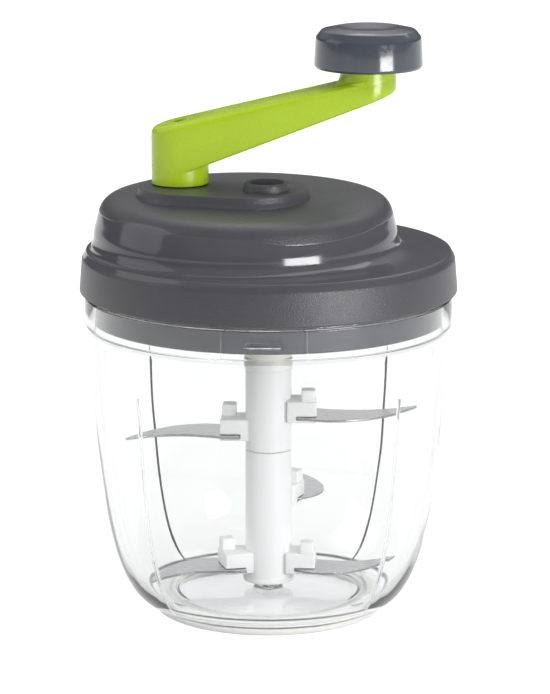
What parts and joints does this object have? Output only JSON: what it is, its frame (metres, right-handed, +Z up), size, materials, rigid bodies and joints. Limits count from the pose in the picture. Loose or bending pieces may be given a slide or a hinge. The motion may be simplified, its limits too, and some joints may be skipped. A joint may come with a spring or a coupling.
{
  "type": "vegetable chopper",
  "caption": "Hand-cranked chopper: a clear bowl with a geared lid, a sloping crank arm with a knob, and a lift-out shaft of curved blades on moulded holders.",
  "frame": {"origin": "on the bowl's axis, on the surface that the chopper stands on", "axes": "+Z up along the bowl's axis and the blade shaft; the crank arm points along +X at rest; -Y is the side with the feed port and the lock bead"},
  "size_m": [0.128, 0.128, 0.2],
  "materials": {
    "clear_plastic": "clear, polished",
    "silicone": "matte",
    "stainless_steel": "satin",
    "lid_grey": "gloss side, fine-grained top",
    "base_grey": "satin",
    "knob_grey": "gloss",
    "lime_plastic": "gloss",
    "gear_white": "satin",
    "cream_plastic": "satin",
    "white_plastic": "semi-gloss"
  },
  "bodies": {
    "bowl": {"bowl": "clear_plastic", "foot_ring": "silicone", "pivot_pin": "stainless_steel"},
    "lid": {"lid_cover": "lid_grey", "lid_ring": "lid_grey", "lid_base": "base_grey", "seal_ring": "silicone", "lid_screw_1": "stainless_steel", "lid_screw_2": "stainless_steel", "lid_screw_3": "stainless_steel", "lid_screw_4": "stainless_steel"},
    "crank": {"crank_arm": "lime_plastic", "drive_gear": "gear_white", "crank_screw": "stainless_steel"},
    "knob": {"knob": "knob_grey", "knob_screw": "stainless_steel"},
    "pinion": {"pinion": "gear_white", "drive_socket": "cream_plastic", "socket_screw": "stainless_steel"},
    "blade_set": {"shaft_upper": "white_plastic", "shaft_lower": "white_plastic", "blade_1": "stainless_steel", "blade_2": "stainless_steel", "blade_3": "stainless_steel", "blade_4": "stainless_steel", "blade_5": "stainless_steel"}
  },
  "joints": [
    {"name": "lid_lift", "type": "slide", "parent": "bowl", "child": "lid", "axis": [0, 0, 1], "range_m": [0, 0.08]},
    {"name": "crank_turn", "type": "hinge", "parent": "lid", "child": "crank", "pos_m": [-0.0297, 0, 0.13], "axis": [0, 0, 1], "continuous": true},
    {"name": "knob_spin", "type": "hinge", "parent": "crank", "child": "knob", "pos_m": [0.0334, 0, 0.186], "axis": [0, 0, 1], "continuous": true},
    {"name": "pinion_turn", "type": "hinge", "parent": "lid", "child": "pinion", "pos_m": [0, 0, 0.12], "axis": [0, 0, 1], "continuous": true},
    {"name": "blade_turn", "type": "hinge", "parent": "bowl", "child": "blade_set", "pos_m": [0, 0, 0.02], "axis": [0, 0, 1], "continuous": true}
  ],
  "couplings": [
    {"joint": "pinion_turn", "follows": "crank_turn", "ratio": -3.5},
    {"joint": "blade_turn", "follows": "crank_turn", "ratio": -3.5}
  ]
}
